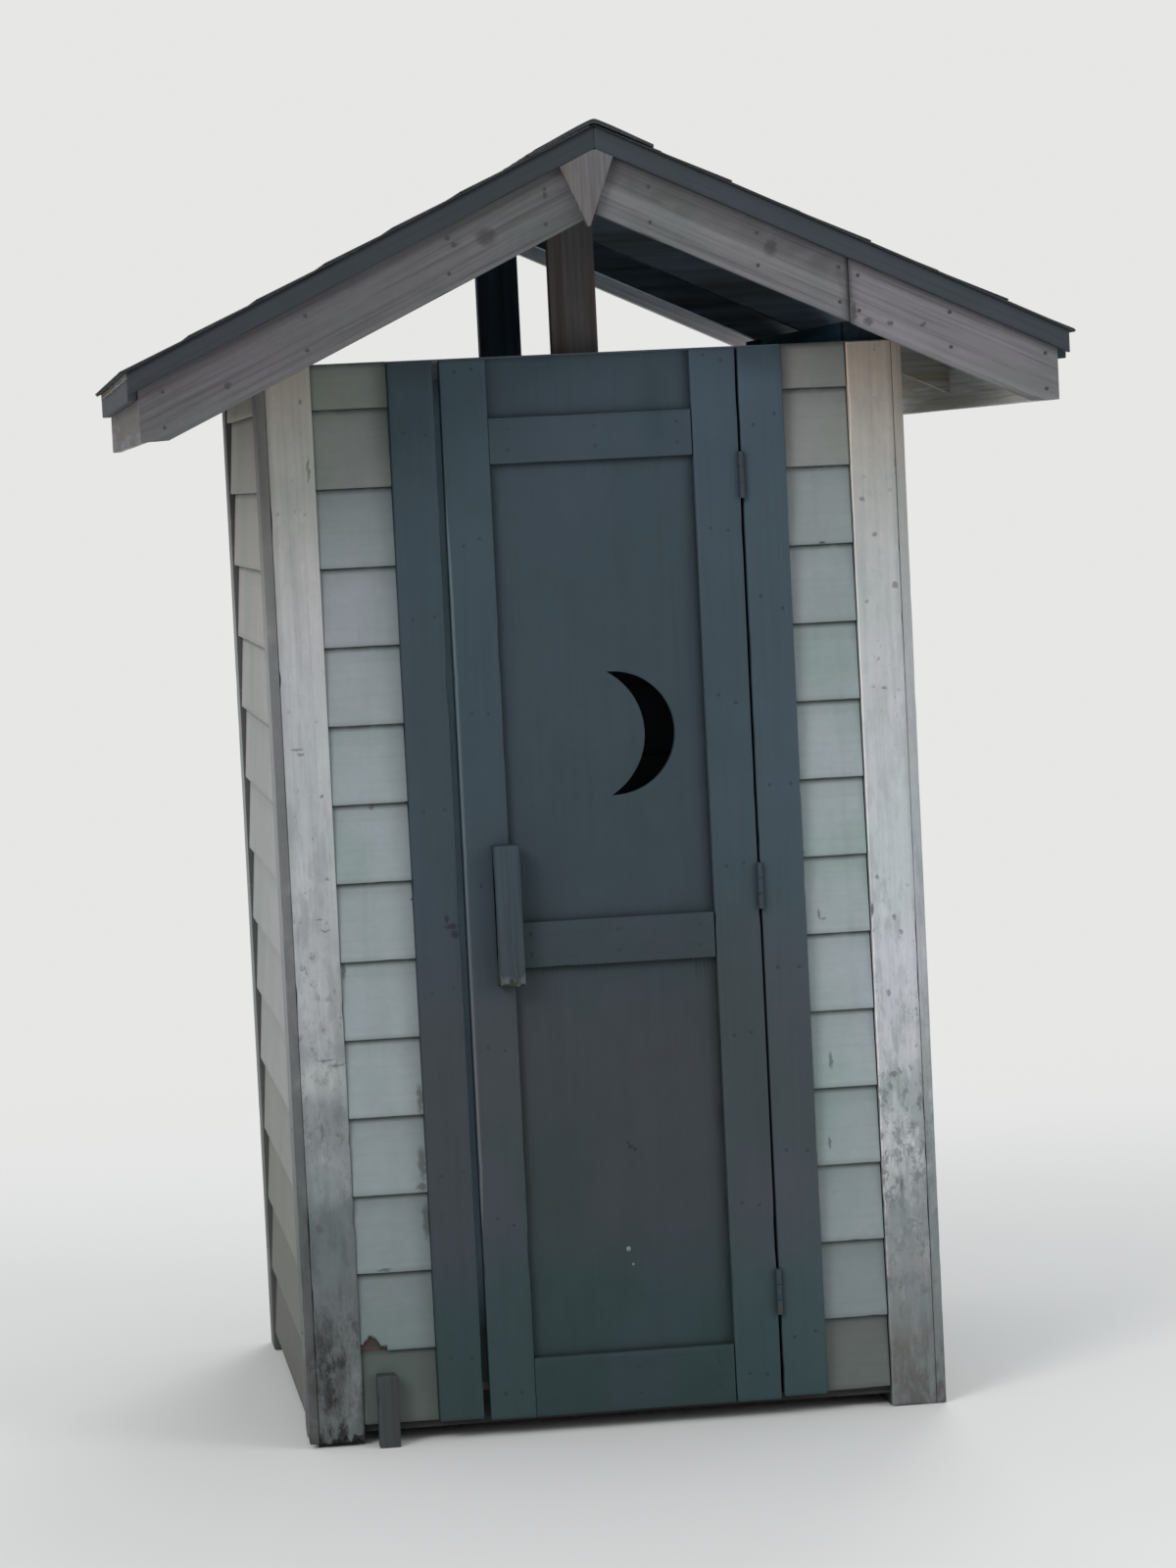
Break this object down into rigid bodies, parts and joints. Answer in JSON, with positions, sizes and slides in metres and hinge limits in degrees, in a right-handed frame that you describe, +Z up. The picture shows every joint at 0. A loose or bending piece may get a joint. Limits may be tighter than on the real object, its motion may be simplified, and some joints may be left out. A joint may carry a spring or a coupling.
{
  "type": "wooden outhouse",
  "caption": "Small square timber privy: lap siding, corner boards, ridge roof with open gables, and a ledged door with a crescent cut-out that swings outward.",
  "frame": {"origin": "on the ground, at the middle of the roof's plan", "axes": "+Z up, -Y towards the side with the door, +X to the right seen from in front of the door"},
  "size_m": [1.8, 1.762, 2.5199],
  "materials": {
    "framing": "bare sawn timber, dull",
    "floor_boards": "bare worn boards",
    "siding_paint": "matt light grey paint, chalky and dirty",
    "corner_boards": "off-white paint, weathered and peeling",
    "slate_paint": "matt slate grey paint",
    "roof_deck": "dull dark plywood",
    "shingles": "mineral-faced asphalt, rough",
    "rake_trim": "matt blue-grey paint",
    "weathered_boards": "weathered grey-mauve timber, worn paint",
    "foot_block": "weathered offcut",
    "pull_wood": "worn painted wood",
    "hinge_steel": "steel under slate paint, worn at the edges"
  },
  "bodies": {
    "building": {"skids": "framing", "floor_joists": "framing", "floor": "floor_boards", "sole_plates": "framing", "corner_posts": "framing", "door_posts": "slate_paint", "wall_studs": "framing", "front_top_plate": "framing", "rear_top_plate": "framing", "side_top_plates": "framing", "siding_front_left": "siding_paint", "siding_front_right": "siding_paint", "siding_left": "siding_paint", "siding_right": "siding_paint", "siding_rear": "siding_paint", "corner_front_left": "corner_boards", "corner_front_right": "corner_boards", "corner_rear_left": "corner_boards", "corner_rear_right": "corner_boards", "casing_left": "slate_paint", "casing_right": "slate_paint", "king_posts": "framing", "ridge_board": "framing", "rafters_left": "framing", "rafters_right": "framing", "roof_deck_left": "roof_deck", "roof_deck_right": "roof_deck", "shingles_left": "shingles", "shingles_right": "shingles", "ridge_cap": "shingles", "rake_trim_front": "rake_trim", "rake_trim_rear": "rake_trim", "eave_trims": "rake_trim", "fascias": "weathered_boards", "barge_front_left": "weathered_boards", "barge_front_right": "weathered_boards", "barge_rear": "weathered_boards", "peak_wedge": "weathered_boards", "foot_block": "foot_block", "jamb_hinges": "hinge_steel"},
    "door": {"door_panel": "slate_paint", "door_stiles": "slate_paint", "door_rails": "slate_paint", "door_pull": "pull_wood", "leaf_hinges": "hinge_steel"}
  },
  "joints": [
    {"name": "door_swing", "type": "hinge", "parent": "building", "child": "door", "pos_m": [0.302, -0.541, 1.05], "axis": [0, 0, 1], "range_deg": [0, 110]}
  ]
}
